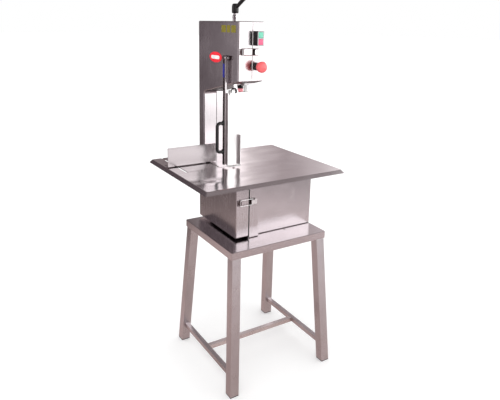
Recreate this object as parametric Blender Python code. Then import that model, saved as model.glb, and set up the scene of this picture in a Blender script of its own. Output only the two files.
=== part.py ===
"""Butcher's bone saw on a four-legged stand.

A vertical band saw for meat and bone: two wheels carry a toothed band behind
stainless covers, a fixed table stands round the band, a portion fence slides
in the table and a hanging pusher feeds the meat. Units are metres, +Z is up,
the operator stands on the -Y side and the band is right of the column (+X).
"""

import math

import bpy
import bmesh
from mathutils import Matrix, Vector

# ---------------------------------------------------------------- dimensions
GAP = 0.0003                      # clearance between pieces that touch
SHEET = 0.002                     # stainless sheet of housings and covers
BACK_PLATE = 0.003                # back plates that carry the wheels
BEND = 0.004                      # outside radius of folded sheet edges

# stand
FOOT_X, FOOT_Y = 0.237, 0.242     # outer corner of a leg at the floor
LEG_TOP_X, LEG_TOP_Y = 0.1893, 0.2122
LEG_TOP_Z = 0.5777
LEG_BOTTOM_Z = 0.004
LEG = 0.0365                      # square leg tube
STRETCHER = 0.018                 # square stretcher tube
STRETCHER_WALL = 0.0015
STRETCHER_Z = 0.0785
TRAY_X, TRAY_Y = 0.194, 0.2186    # half sizes of the stand's top tray
TRAY_TOP = 0.580
TRAY_LIP = 0.029

# C-shaped frame and its covers
LEFT = -0.199                     # outer left side of base, column and head
BASE_RIGHT = 0.1071
HEAD_RIGHT = 0.1083
COLUMN_RIGHT = -0.1544            # side of the column that faces the band
FRONT_Y = -0.1517                 # front faces of the covers
SEAM_Y = -0.0960                  # covers end here, frame begins
BACK_Y = -0.0465                  # back of the frame
BASE_Z = TRAY_TOP + GAP
DOOR_Z0, DOOR_Z1 = 0.5888, 0.8450
BASE_TOP = 0.8580
COLUMN_TOP = 1.1230
HEAD_LOW_LEFT = 1.1241            # underside of the head at the column
HEAD_LOW_RIGHT = 1.1848           # underside of the head at its free end
HEAD_TOP = 1.3931
MOTOR_BOX_LEFT, MOTOR_BOX_RIGHT = -0.1805, 0.0886
MOTOR_BOX_BACK = 0.2182
MOTOR_BOX_TOP = 0.8488            # just under the table's rear flange

# table
TABLE_X = (-0.1888, 0.2785)
TABLE_Y = (-0.3620, 0.2059)
TABLE_TOP = 0.8613
TABLE_SHEET = 0.0025
FLANGE_OUT, FLANGE_DOWN = 0.0106, 0.0121
FRONT_SLOT_Y = -0.3215
REAR_SLOT_Y = -0.1850
FENCE_SLOT = 0.0080               # width of both fence slots
BAND_SLIT = (0.0388, 0.0427)      # sides of the slit that lets the band in
INSERT_SLIT = (0.0392, 0.0423)    # the narrower slit of the wear plate

# wheels and band
WHEEL_X = -0.068
WHEEL_Z_LOW, WHEEL_Z_HIGH = 0.728, 1.268
WHEEL_R = 0.108
WHEEL_BORE = 0.0101
AXLE_R = 0.010
RUN = 0.0001                      # radial clearance of shafts in their bores
RIM_Y = (-0.1330, -0.1130)        # faces of the rim, the band's track
RIM_IN, WEB_R = 0.098, 0.096      # inside of the rim, edge of the web
WEB_Y = (-0.1260, -0.1200)
HUB_R, HUB_Y = 0.024, (-0.1350, -0.0990)
CAP_R = 0.016                     # retaining cap on the front of each axle
CAP_Y = (-0.1445, -0.1430, -0.1353)
BAND_R = 0.1084                   # inside radius of the band on a wheel
BAND_T = 0.0007
BAND_Y = (-0.131, -0.115)
BAND_X = WHEEL_X + BAND_R + BAND_T / 2

# tension gear, guide, pusher and fence
SCREW_Y, SCREW_R = -0.0630, 0.006
POST_X, POST_Y, POST_R = BAND_X, -0.0785, 0.007
ROLLER_Y, ROLLER_Z, ROLLER_R = -0.1042, 1.129, 0.0102
ROLLER_HALF = 0.0036              # half width of the roller
ROLLER_PIN = 0.0031
KNOB_X, KNOB_Y = 0.012, -0.0835
KNOB_R, KNOB_STEM = 0.011, 0.004
PIVOT_Y, PIVOT_Z, PIVOT_R = -0.1605, 1.266, 0.0032
ARM_X = (0.026, 0.046)
PUSHER_PIVOT = (sum(ARM_X) / 2, PIVOT_Y, PIVOT_Z)
ARM_Y = (-0.1675, -0.1605)
ARM_BOTTOM = 0.8690
FENCE_X = -0.0390
FENCE_Y = (-0.3600, -0.1580)
FENCE_Z = (0.8652, 0.9365)
HINGE_X, HINGE_Y = -0.2052, -0.0965
HINGE_HEIGHTS = (0.6350, 0.8000)
LATCH_HEIGHTS = {"latch_upper": 1.289, "latch_lower": 0.731}
SWITCH_Z = (1.311, 1.361)
ESTOP_Y, ESTOP_Z, ESTOP_STEM = -0.0770, 1.2385, 0.0085

# the frame above is centred on the stand; the part's origin is the middle of
# its bounding box on the floor
CENTRE_X = (TABLE_X[1] + FLANGE_OUT - FOOT_X) / 2
CENTRE_Y = (TABLE_Y[0] - FLANGE_OUT + FOOT_Y) / 2

SMOOTH_ANGLE = math.radians(32)

# ---------------------------------------------------------------- materials
STEEL = dict(color=(0.62, 0.60, 0.60), rough=0.34, metal=1.0)
POLISHED = dict(color=(0.72, 0.70, 0.70), rough=0.16, metal=1.0)
CHROME = dict(color=(0.80, 0.80, 0.80), rough=0.10, metal=1.0)
CAST = dict(color=(0.45, 0.45, 0.46), rough=0.50, metal=1.0)
BLACK = dict(color=(0.015, 0.015, 0.016), rough=0.42, metal=0.0)
RUBBER = dict(color=(0.03, 0.03, 0.03), rough=0.80, metal=0.0)
MOTOR_GREY = dict(color=(0.22, 0.24, 0.26), rough=0.50, metal=0.0)
RED = dict(color=(0.80, 0.03, 0.05), rough=0.35, metal=0.0)
GREEN = dict(color=(0.05, 0.50, 0.25), rough=0.35, metal=0.0)
WHITE = dict(color=(0.85, 0.85, 0.83), rough=0.40, metal=0.0)


def make_material(name, look):
    """A Principled BSDF with one plain colour."""
    material = bpy.data.materials.new(name)
    material.use_nodes = True
    shader = material.node_tree.nodes["Principled BSDF"]
    shader.inputs["Base Color"].default_value = (*look["color"], 1.0)
    shader.inputs["Roughness"].default_value = look["rough"]
    shader.inputs["Metallic"].default_value = look["metal"]
    return material


# ---------------------------------------------------------------- mesh tools
def loft(rings, closed=False):
    """Skin equal rings of points; ends are capped unless the loft is closed."""
    bm = bmesh.new()
    layers = [[bm.verts.new(point) for point in ring] for ring in rings]
    pairs = list(zip(layers, layers[1:]))
    if closed:
        pairs.append((layers[-1], layers[0]))
    count = len(layers[0])
    for low, high in pairs:
        for i in range(count):
            j = (i + 1) % count
            bm.faces.new((low[i], low[j], high[j], high[i]))
    if not closed:
        bm.faces.new(layers[0])
        bm.faces.new(layers[-1])
    bmesh.ops.recalc_face_normals(bm, faces=bm.faces)
    return bm


def place(axis, flat, level):
    """A point from two in-plane coordinates and a level along an axis."""
    u, v = flat
    if axis == "X":
        return (level, u, v)
    if axis == "Y":
        return (u, level, v)
    return (u, v, level)


def prism(outline, axis, low, high):
    """A polygon pushed along an axis."""
    return loft([[place(axis, p, level) for p in outline] for level in (low, high)])


def box(x, y, z):
    """A cuboid from three (low, high) pairs."""
    outline = [(x[0], y[0]), (x[1], y[0]), (x[1], y[1]), (x[0], y[1])]
    return prism(outline, "Z", z[0], z[1])


def rectangle(u, v):
    """The four corners of a rectangle, anticlockwise."""
    return [(u[0], v[0]), (u[1], v[0]), (u[1], v[1]), (u[0], v[1])]


def ring_points(radius, level, axis, centre, segments):
    """A circle about an axis through centre, at a level along it."""
    points = []
    for i in range(segments):
        angle = 2 * math.pi * i / segments
        u, v = radius * math.cos(angle), radius * math.sin(angle)
        offset = Vector(place(axis, (u, v), level))
        points.append(tuple(Vector(centre) + offset))
    return points


def lathe(profile, axis, centre, segments=32, closed=False):
    """Turn (radius, level) points about an axis through centre."""
    rings = [ring_points(r, h, axis, centre, segments) for r, h in profile]
    return loft(rings, closed)


def offset_outline(outline, distance):
    """Move every edge of an anticlockwise outline inwards."""
    count = len(outline)
    result = []
    for i in range(count):
        before, here, after = (Vector(outline[(i + k) % count]) for k in (-1, 0, 1))
        d1 = (here - before).normalized()
        d2 = (after - here).normalized()
        n1, n2 = Vector((-d1.y, d1.x)), Vector((-d2.y, d2.x))
        shift = (n1 + n2) / (1 + n1.dot(n2))
        result.append(tuple(here + shift * distance))
    return result


def rounded(outline, radii, steps=3):
    """Round each corner of an outline with its own radius."""
    count = len(outline)
    result = []
    for i in range(count):
        radius = radii[i]
        here = Vector(outline[i])
        if radius == 0:
            result.append(tuple(here))
            continue
        to_before = (Vector(outline[i - 1]) - here).normalized()
        to_after = (Vector(outline[(i + 1) % count]) - here).normalized()
        half = math.acos(max(-1, min(1, to_before.dot(to_after)))) / 2
        reach = radius / math.tan(half)
        centre = here + (to_before + to_after).normalized() * (radius / math.sin(half))
        start = here + to_before * reach - centre
        end = here + to_after * reach - centre
        for k in range(steps + 1):
            t = k / steps
            direction = (start * (1 - t) + end * t).normalized()
            result.append(tuple(centre + direction * radius))
    return result


def pan(outline, y_open, y_closed, plate):
    """A sheet pan seen along Y: open at one end, a folded plate at the other."""
    sign = 1 if y_closed > y_open else -1
    inner = offset_outline(outline, SHEET)
    rings = [
        [place("Y", p, y_closed - sign * plate) for p in inner],
        [place("Y", p, y_open) for p in inner],
        [place("Y", p, y_open) for p in outline],
    ]
    for k in range(4):
        angle = k * math.pi / 6
        inset = offset_outline(outline, BEND * (1 - math.cos(angle)))
        level = y_closed - sign * BEND * (1 - math.sin(angle))
        rings.append([place("Y", p, level) for p in inset])
    return loft(rings)


def sweep(path, normal, radius, segments=12, closed=False):
    """A round bar bent along a flat path whose plane has the given normal."""
    normal = Vector(normal)
    count = len(path)
    points = [Vector(p) for p in path]
    rings = []
    for i, point in enumerate(points):
        ahead = points[(i + 1) % count] if closed or i + 1 < count else point
        behind = points[i - 1] if closed or i > 0 else point
        d1 = (point - behind).normalized() if behind != point else None
        d2 = (ahead - point).normalized() if ahead != point else None
        d1, d2 = d1 or d2, d2 or d1
        tangent = (d1 + d2).normalized()
        stretch = 1 / max(0.5, tangent.dot(d1))
        side = tangent.cross(normal)
        ring = []
        for k in range(segments):
            angle = 2 * math.pi * k / segments
            ring.append(point + side * (radius * stretch * math.cos(angle))
                        + normal * (radius * math.sin(angle)))
        rings.append(ring)
    return loft(rings, closed)


# -------------------------------------------------------------- object tools
def clear_scene():
    """Start from an empty scene."""
    for obj in list(bpy.data.objects):
        bpy.data.objects.remove(obj, do_unlink=True)


def add(name, bm, look, origin=(0, 0, 0)):
    """Put a mesh in the scene as a named piece with its own material."""
    bm.transform(Matrix.Translation(-Vector(origin)))
    mesh = bpy.data.meshes.new(name)
    bm.to_mesh(mesh)
    bm.free()
    obj = bpy.data.objects.new(name, mesh)
    bpy.context.scene.collection.objects.link(obj)
    obj.parent = ROOT
    obj.location = origin
    mesh.materials.append(make_material(name, look))
    mesh.shade_smooth()
    mesh.set_sharp_from_angle(angle=SMOOTH_ANGLE)
    return obj


def combine(obj, bm, operation):
    """Cut a piece with, or join it to, a second shape given in the same frame."""
    mesh = bpy.data.meshes.new(obj.name + "_tool")
    bm.to_mesh(mesh)
    bm.free()
    tool = bpy.data.objects.new(obj.name + "_tool", mesh)
    bpy.context.scene.collection.objects.link(tool)
    tool.parent = ROOT
    tool.hide_render = True
    tool.display_type = "WIRE"
    modifier = obj.modifiers.new(operation.title(), "BOOLEAN")
    modifier.operation = operation
    modifier.solver = "EXACT"
    modifier.object = tool


def cut(obj, bm):
    combine(obj, bm, "DIFFERENCE")


def join(obj, bm):
    combine(obj, bm, "UNION")


# --------------------------------------------------------------------- stand
def leg_centre(side_x, side_y, z):
    """Middle of a splayed leg at a height."""
    t = z / LEG_TOP_Z
    x = (FOOT_X - LEG / 2) * (1 - t) + (LEG_TOP_X - LEG / 2) * t
    y = (FOOT_Y - LEG / 2) * (1 - t) + (LEG_TOP_Y - LEG / 2) * t
    return side_x * x, side_y * y


def leg_square(side_x, side_y, z, half):
    """A level square on a leg's centre line."""
    cx, cy = leg_centre(side_x, side_y, z)
    corners = rectangle((cx - half, cx + half), (cy - half, cy + half))
    return [(x, y, z) for x, y in corners]


def build_leg(name, side_x, side_y):
    inner = LEG / 2 - SHEET
    rings = [
        leg_square(side_x, side_y, LEG_BOTTOM_Z, LEG / 2),
        leg_square(side_x, side_y, LEG_TOP_Z, LEG / 2),
        leg_square(side_x, side_y, LEG_TOP_Z, inner),
        leg_square(side_x, side_y, LEG_BOTTOM_Z, inner),
    ]
    add("leg_" + name, loft(rings, closed=True), STEEL)


def build_foot(name, side_x, side_y):
    """Plastic plug: a pad under the tube and a spigot inside it."""
    pad_top = LEG_BOTTOM_Z - GAP
    spigot = LEG / 2 - SHEET - GAP
    rings = [
        leg_square(side_x, side_y, 0.0, LEG / 2 - 0.001),
        leg_square(side_x, side_y, 0.001, LEG / 2),
        leg_square(side_x, side_y, pad_top, LEG / 2),
        leg_square(side_x, side_y, pad_top, spigot),
        leg_square(side_x, side_y, 0.022, spigot),
    ]
    add("foot_" + name, loft(rings), RUBBER)


def build_long_stretcher(name, side_y):
    """Square tube between the legs of the front or back pair."""
    cy = leg_centre(1, side_y, STRETCHER_Z)[1]
    outer, inner = STRETCHER / 2, STRETCHER / 2 - STRETCHER_WALL
    rings = []
    for half, side_x in ((outer, -1), (outer, 1), (inner, 1), (inner, -1)):
        ring = []
        for y, z in rectangle((cy - half, cy + half),
                              (STRETCHER_Z - half, STRETCHER_Z + half)):
            x = leg_centre(1, 1, z)[0] - LEG / 2 - GAP
            ring.append((side_x * x, y, z))
        rings.append(ring)
    add("stretcher_" + name, loft(rings, closed=True), STEEL)


def build_middle_stretcher():
    """Square tube that ties the two long stretchers."""
    reach = leg_centre(1, 1, STRETCHER_Z)[1] - STRETCHER / 2 - GAP
    outer, inner = STRETCHER / 2, STRETCHER / 2 - STRETCHER_WALL
    rings = []
    for half, y in ((outer, -reach), (outer, reach), (inner, reach), (inner, -reach)):
        outline = rectangle((-half, half), (STRETCHER_Z - half, STRETCHER_Z + half))
        rings.append([place("Y", p, y) for p in outline])
    add("stretcher_middle", loft(rings, closed=True), STEEL)


def build_tray():
    """Folded sheet top of the stand, open underneath."""
    def level(dx, z):
        corners = rectangle((-TRAY_X + dx, TRAY_X - dx), (-TRAY_Y + dx, TRAY_Y - dx))
        return [(x, y, z) for x, y in rounded(corners, [0.003] * 4, 2)]
    rings = [
        level(0.0015, TRAY_TOP),
        level(0.0, TRAY_TOP - 0.0015),
        level(0.0, TRAY_TOP - TRAY_LIP),
        level(SHEET - 0.0004, TRAY_TOP - TRAY_LIP),
        level(SHEET - 0.0004, TRAY_TOP - SHEET),
    ]
    add("stand_tray", loft(rings), STEEL)


def build_stand():
    build_tray()
    corners = {"front_left": (-1, -1), "front_right": (1, -1),
               "back_left": (-1, 1), "back_right": (1, 1)}
    for name, (side_x, side_y) in corners.items():
        build_leg(name, side_x, side_y)
        build_foot(name, side_x, side_y)
    build_long_stretcher("front", -1)
    build_long_stretcher("back", 1)
    build_middle_stretcher()


# --------------------------------------------------------- frame and covers
def build_base():
    """Lower half of the frame, behind the lower wheel."""
    outline = rounded(rectangle((LEFT, BASE_RIGHT), (BASE_Z, BASE_TOP)), [0.004] * 4)
    body = add("base_body", pan(outline, SEAM_Y + 0.0005, BACK_Y, BACK_PLATE), STEEL)
    centre = (WHEEL_X, 0, WHEEL_Z_LOW)
    cut(body, lathe([(0.0305, -0.07), (0.0305, -0.03)], "Y", centre))


def build_column():
    """Upright of the frame, behind the returning run of the band."""
    corners = rectangle((LEFT, COLUMN_RIGHT), (BASE_TOP + GAP, COLUMN_TOP))
    outline = rounded(corners, [0.003] * 4)
    add("column_body", pan(outline, SEAM_Y + 0.0005, BACK_Y, BACK_PLATE), STEEL)


def build_head():
    """Upper half of the frame, with the bored block that holds the guide post."""
    corners = [(LEFT, COLUMN_TOP + GAP), (COLUMN_RIGHT, COLUMN_TOP + GAP),
               (HEAD_RIGHT, HEAD_LOW_RIGHT), (HEAD_RIGHT, HEAD_TOP), (LEFT, HEAD_TOP)]
    outline = rounded(corners, [0.003, 0.0, 0.004, 0.004, 0.004])
    body = add("head_body", pan(outline, SEAM_Y + 0.0005, BACK_Y, BACK_PLATE), STEEL)
    join(body, box((0.0020, 0.0560), (-0.0920, BACK_Y - 0.001), (1.1700, 1.2350)))
    bores = ((POST_R + RUN, 1.12, 1.25, (POST_X, POST_Y, 0)),
             (KNOB_STEM + RUN, 1.12, 1.21, (KNOB_X, KNOB_Y, 0)),
             (SCREW_R + 0.001, 1.38, 1.40, (WHEEL_X, SCREW_Y, 0)))
    for radius, low, high, axis in bores:
        cut(body, lathe([(radius, low), (radius, high)], "Z", axis, 24))


def build_motor_box():
    """Rear housing of the motor, under the back of the table."""
    corners = rectangle((MOTOR_BOX_LEFT, MOTOR_BOX_RIGHT), (BASE_Z, MOTOR_BOX_TOP))
    outline = rounded(corners, [0.004] * 4)
    add("motor_box", pan(outline, BACK_Y + GAP, MOTOR_BOX_BACK, SHEET), STEEL)


def band_notch(x, z):
    """Cutter for a notch, open to the rear, that the band runs through."""
    return box(x, (BAND_Y[0] - 0.004, SEAM_Y + 0.01), z)


def build_upper_cover():
    """Draw-off front cover of head and column in one piece."""
    corners = [(LEFT, TABLE_TOP + 0.0012), (COLUMN_RIGHT, TABLE_TOP + 0.0012),
               (COLUMN_RIGHT, HEAD_LOW_LEFT), (HEAD_RIGHT, HEAD_LOW_RIGHT),
               (HEAD_RIGHT, HEAD_TOP), (LEFT, HEAD_TOP)]
    outline = rounded(corners, [0, 0, 0.014, 0.004, 0.004, 0.004], 4)
    cover = add("upper_cover", pan(outline, SEAM_Y, FRONT_Y, SHEET), STEEL)
    way_in = box((LEFT + SHEET + 0.001, COLUMN_RIGHT - SHEET - 0.001),
                 (FRONT_Y + SHEET + 0.001, SEAM_Y + 0.01), (0.85, 0.87))
    cut(cover, way_in)
    cut(cover, band_notch((BAND_X - 0.006, BAND_X + 0.006), (1.14, 1.19)))


def build_lower_door():
    """Side-hinged door over the lower wheel."""
    outline = rounded(rectangle((LEFT, BASE_RIGHT), (DOOR_Z0, DOOR_Z1)), [0.004] * 4)
    door = add("lower_door", pan(outline, SEAM_Y, FRONT_Y, SHEET), STEEL,
               (HINGE_X, HINGE_Y, 0))
    # the left notch is wide, so the opening door swings clear of the band
    for x in ((BAND_X - 0.006, BAND_X + 0.008), (-0.184, -0.154)):
        cut(door, band_notch(x, (DOOR_Z1 - 0.005, DOOR_Z1 + 0.005)))


def build_door_hinge(name, z):
    """Leaf and pin on the frame, leaf and knuckle on the door."""
    centre = (HINGE_X, HINGE_Y, z)
    pin_r, knuckle_r, half = 0.0024, 0.0044, 0.018
    pin = lathe([(knuckle_r, -half), (knuckle_r, -GAP), (pin_r, -GAP), (pin_r, half)],
                "Z", centre, 16)
    fixed = add("hinge_" + name + "_fixed", pin, POLISHED)
    leaf_x = (LEFT - GAP - 0.0020, LEFT - GAP)
    join(fixed, box((leaf_x[0], leaf_x[1]), (HINGE_Y, -0.062),
                    (z - half, z - 0.001)))
    knuckle = lathe([(pin_r + RUN, GAP), (knuckle_r, GAP),
                     (knuckle_r, half), (pin_r + RUN, half)],
                    "Z", centre, 24, closed=True)
    leaf = add("hinge_" + name + "_leaf", knuckle, POLISHED)
    join(leaf, box((leaf_x[0], leaf_x[1]), (-0.130, HINGE_Y),
                   (z + 0.001, z + half)))


def build_latch(name, z, side):
    """Toggle latch: base, lever and wire bail, with a keeper on the cover."""
    face = side + GAP
    pin_x, pin_y, pin_r = face + 0.0060, -0.0865, 0.0013
    ear, ear_top, half_base, half_keeper = 0.0085, 0.0101, 0.0125, 0.0105
    base = add(name + "_base", box((face, face + 0.0016), (-0.0935, -0.0690),
                                   (z - half_base, z + half_base)), POLISHED)
    ear_outline = [(face + 0.0010, pin_y - 0.0050), (face + 0.0090, pin_y - 0.0030),
                   (face + 0.0090, pin_y + 0.0030), (face + 0.0010, pin_y + 0.0050)]
    for low, high in ((z - ear_top, z - ear), (z + ear, z + ear_top)):
        join(base, prism(ear_outline, "Z", low, high))
    pin_end = ear_top - 0.0004
    join(base, lathe([(pin_r, -pin_end), (pin_r, pin_end)], "Z", (pin_x, pin_y, z), 16))

    half = ear - GAP
    outline = [(-0.0015, -0.0030), (0.0023, -0.0030), (0.0038, -0.0015), (0.0038, 0.0195),
               (0.0022, 0.0225), (0.0006, 0.0225), (0.0006, 0.0105), (-0.0030, 0.0105),
               (-0.0030, -0.0015)]
    lever = add(name + "_lever", prism([(pin_x + x, pin_y + y) for x, y in outline], "Z",
                                       z - half, z + half), POLISHED, (pin_x, pin_y, z))
    wire = 0.0011
    bail_x, bail_y = pin_x + 0.0006, pin_y + 0.0060
    for x, y, radius in ((pin_x, pin_y, pin_r), (bail_x, bail_y, wire)):
        bore = radius + RUN
        cut(lever, lathe([(bore, -ear), (bore, ear)], "Z", (x, y, z), 16))
    arm = ear_top + GAP + wire
    hook_y, hole = -0.1375, 0.0060
    corners = [(bail_y, -hole), (bail_y, -arm), (hook_y, -arm),
               (hook_y, arm), (bail_y, arm), (bail_y, hole)]
    bends = rounded(corners, [0, 0.0012, 0.003, 0.003, 0.0012, 0])
    path = [(bail_x, y, z + dz) for y, dz in bends]
    add(name + "_bail", sweep(path, (1, 0, 0), wire, 8), CHROME, (bail_x, bail_y, z))
    front, back = hook_y - 0.0085, hook_y + 0.0085
    keeper = [(face, front), (face, back), (face + 0.0022, back),
              (face + 0.0040, hook_y + 0.0020), (face + 0.0022, hook_y - 0.0045),
              (face + 0.0014, front)]
    add(name + "_keeper", prism(keeper, "Z", z - half_keeper, z + half_keeper), POLISHED)


def build_frame_and_covers():
    build_base()
    build_column()
    build_head()
    build_motor_box()
    build_upper_cover()
    build_lower_door()
    for name, z in zip(("low", "high"), HINGE_HEIGHTS):
        build_door_hinge(name, z)
    build_latch("latch_upper", LATCH_HEIGHTS["latch_upper"], HEAD_RIGHT)
    build_latch("latch_lower", LATCH_HEIGHTS["latch_lower"], BASE_RIGHT)


# --------------------------------------------------------------- drive train
def wheel_mesh(centre):
    """Cast wheel: hub, web and flat rim, bored for its axle."""
    profile = [(WHEEL_BORE, HUB_Y[0]), (HUB_R, HUB_Y[0]), (HUB_R, WEB_Y[0]),
               (WEB_R, WEB_Y[0]), (RIM_IN, RIM_Y[0]), (WHEEL_R, RIM_Y[0]),
               (WHEEL_R, RIM_Y[1]), (RIM_IN, RIM_Y[1]), (WEB_R, WEB_Y[1]),
               (HUB_R, WEB_Y[1]), (HUB_R, HUB_Y[1]), (WHEEL_BORE, HUB_Y[1])]
    return lathe(profile, "Y", centre, 48, closed=True)


def axle_cap():
    """Front end of an axle: a chamfered cap that holds the wheel on."""
    return [(CAP_R - 0.002, CAP_Y[0]), (CAP_R, CAP_Y[1]), (CAP_R, CAP_Y[2]),
            (AXLE_R, CAP_Y[2])]


def build_drive():
    """Motor, bearing, shaft and lower wheel on one axis."""
    centre = (WHEEL_X, 0, WHEEL_Z_LOW)
    motor_front = BACK_Y + GAP
    add("motor", lathe([(0.0115, -0.013), (0.0115, motor_front), (0.060, motor_front),
                        (0.062, -0.040), (0.062, 0.120), (0.064, 0.121),
                        (0.064, 0.158), (0.056, 0.168)], "Y", centre, 32), MOTOR_GREY)
    add("lower_bearing", lathe([(WHEEL_BORE, -0.0475), (0.030, -0.0475), (0.030, -0.0498),
                                (0.045, -0.0498), (0.045, -0.0580), (0.025, -0.0600),
                                (0.022, -0.0975), (WHEEL_BORE, -0.0975)],
                               "Y", centre, 32, closed=True), CAST)
    add("drive_shaft", lathe(axle_cap() + [(AXLE_R, -0.0135)], "Y", centre, 32),
        STEEL, centre)
    add("lower_wheel", wheel_mesh(centre), CAST, centre)


def build_upper_wheel_gear():
    """Upper wheel on a carriage that the tension screw moves up and down."""
    centre = (WHEEL_X, 0, WHEEL_Z_HIGH)
    add("upper_wheel", wheel_mesh(centre), CAST, centre)
    carriage = add("wheel_carriage", box((WHEEL_X - 0.028, WHEEL_X + 0.028),
                                         (-0.0880, -0.0531), (1.238, 1.298)), CAST)
    shoulder = [(AXLE_R, -0.0950), (CAP_R, -0.0900), (CAP_R, -0.0800)]
    join(carriage, lathe(axle_cap() + shoulder, "Y", centre, 32))
    bore = SCREW_R + RUN
    cut(carriage, lathe([(bore, 1.22), (bore, 1.31)], "Z", (WHEEL_X, SCREW_Y, 0), 24))
    inner, outer = 0.0283, 0.0340
    front, floor, back = -0.0880, -0.0528, BACK_Y - BACK_PLATE - GAP
    channel = [(WHEEL_X - outer, back), (WHEEL_X - outer, front), (WHEEL_X - inner, front),
               (WHEEL_X - inner, floor), (WHEEL_X + inner, floor), (WHEEL_X + inner, front),
               (WHEEL_X + outer, front), (WHEEL_X + outer, back)]
    add("carriage_guide", prism(channel, "Z", 1.205, 1.345), STEEL)


def build_tension_screw():
    """Tension screw with its collar, the bush on the head and the clamp lever."""
    centre = (WHEEL_X, SCREW_Y, 0)
    collar, collar_z = 0.0110, (1.3830, 1.3900)
    screw = [(SCREW_R - 0.001, 1.2420), (SCREW_R, 1.2440), (SCREW_R, collar_z[0]),
             (collar, collar_z[0]), (collar, collar_z[1]), (SCREW_R, collar_z[1]),
             (SCREW_R, 1.4310)]
    add("tension_screw", lathe(screw, "Z", centre, 24), CHROME, centre)
    bore = SCREW_R + RUN
    bush_top = 1.4220
    bush = [(bore, HEAD_TOP + GAP), (0.0100, HEAD_TOP + GAP), (0.0095, 1.4040),
            (0.0110, 1.4070), (0.0110, 1.4135), (0.0080, 1.4180), (0.0080, bush_top),
            (bore, bush_top)]
    add("tension_bush", lathe(bush, "Z", centre, 24, closed=True), CHROME)
    bottom = bush_top + 0.0006
    hub = [(0.0063, 1.4320), (0.0063, bottom), (0.0105, bottom), (0.0130, bottom + 0.0040),
           (0.0130, 1.4480), (0.0110, 1.4550), (0.0060, 1.4580)]
    handle = add("tension_handle", lathe(hub, "Z", centre, 24), BLACK, centre)
    join(handle, handle_arm(Vector((WHEEL_X, SCREW_Y, 1.4395))))


def handle_arm(start):
    """Tapered arm of the tension handle, rising outwards from its hub."""
    direction = Vector((0.0590, 0.0100, 0.0420)).normalized()
    side = direction.cross(Vector((0, 0, 1))).normalized()
    up = side.cross(direction)
    profile = ((0.0, 0.0065), (0.014, 0.0068), (0.055, 0.0076),
               (0.068, 0.0084), (0.076, 0.0072), (0.081, 0.0040))
    rings = []
    for reach, radius in profile:
        angles = [2 * math.pi * k / 12 for k in range(12)]
        rings.append([start + direction * reach + side * (radius * math.cos(a))
                      + up * (radius * math.sin(a)) for a in angles])
    return loft(rings)


def band_loop(radius, y):
    """Closed path of the band round both wheels at one radius."""
    points = []
    for z, start in ((WHEEL_Z_HIGH, 0.0), (WHEEL_Z_LOW, math.pi)):
        for k in range(25):
            angle = start + math.pi * k / 24
            points.append((WHEEL_X + radius * math.cos(angle), y,
                           z + radius * math.sin(angle)))
    return points


def build_band():
    outer = BAND_R + BAND_T
    rings = [band_loop(BAND_R, BAND_Y[0]), band_loop(outer, BAND_Y[0]),
             band_loop(outer, BAND_Y[1]), band_loop(BAND_R, BAND_Y[1])]
    add("blade", loft(rings, closed=True), POLISHED)


# --------------------------------------------------------------------- table
def build_table():
    """Flanged table top with fence slots, band slit and column notch."""
    def level(out, z):
        corners = rectangle((TABLE_X[0] - out, TABLE_X[1] + out),
                            (TABLE_Y[0] - out, TABLE_Y[1] + out))
        return [(x, y, z) for x, y in rounded(corners, [0.004] * 4, 2)]
    low = TABLE_TOP - FLANGE_DOWN
    under = TABLE_TOP - TABLE_SHEET
    rings = [level(0.0, TABLE_TOP), level(0.0016, TABLE_TOP - 0.0008),
             level(FLANGE_OUT, low), level(FLANGE_OUT - 0.0030, low),
             level(0.0, under - 0.0004), level(-0.0020, under)]
    table = add("table_top", loft(rings), POLISHED)
    z = (0.84, 0.87)
    cut(table, box((-0.22, COLUMN_RIGHT + 0.0008), (FRONT_Y - 0.0010, BACK_Y + 0.0008), z))
    half = FENCE_SLOT / 2
    cut(table, box((-0.22, BAND_SLIT[1]), (FRONT_SLOT_Y - half, FRONT_SLOT_Y + half), z))
    cut(table, box((-0.1350, 0.0300), (REAR_SLOT_Y - half, REAR_SLOT_Y + half), z))
    cut(table, box(BAND_SLIT, (FRONT_SLOT_Y, -0.1450), z))
    cut(table, box((0.0255, 0.0560), (-0.1520, -0.0980), z))


def build_blade_insert():
    """Wear plate round the band, let into the table and screwed from below."""
    x, y = (0.0258, 0.0557), (-0.1517, -0.0983)
    insert = add("blade_insert", box(x, y, (TABLE_TOP - 0.0040, TABLE_TOP - 0.0001)), WHITE)
    join(insert, box((x[0] - 0.004, x[1] + 0.004), (y[0] - 0.003, y[1] + 0.0018),
                     (TABLE_TOP - 0.0058, TABLE_TOP - TABLE_SHEET - GAP)))
    cut(insert, box(INSERT_SLIT, (-0.1600, BAND_Y[1] + 0.0025), (0.85, 0.87)))


def build_fence():
    """Portion fence: a bent plate on two slides held in the table's slots."""
    thick = 0.002
    outline = [(FENCE_X, FENCE_Z[0]), (FENCE_X, FENCE_Z[1]), (FENCE_X - thick, FENCE_Z[1]),
               (FENCE_X - thick, FENCE_Z[0] + thick), (FENCE_X - 0.030, FENCE_Z[0] + thick),
               (FENCE_X - 0.030, FENCE_Z[0])]
    add("fence", prism(outline, "Y", FENCE_Y[0], FENCE_Y[1]), POLISHED)
    for name, y in (("front", FRONT_SLOT_Y), ("rear", REAR_SLOT_Y)):
        centre = (FENCE_X - 0.016, y, 0)
        neck = FENCE_SLOT / 2 - GAP
        under, over = TABLE_TOP - TABLE_SHEET - GAP, TABLE_TOP + GAP
        profile = [(0.0085, 0.8490), (0.0100, 0.8500), (0.0100, under), (neck, under),
                   (neck, over), (0.0095, over), (0.0095, FENCE_Z[0] - GAP)]
        add("fence_slide_" + name, lathe(profile, "Z", centre, 20), BLACK)


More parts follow.
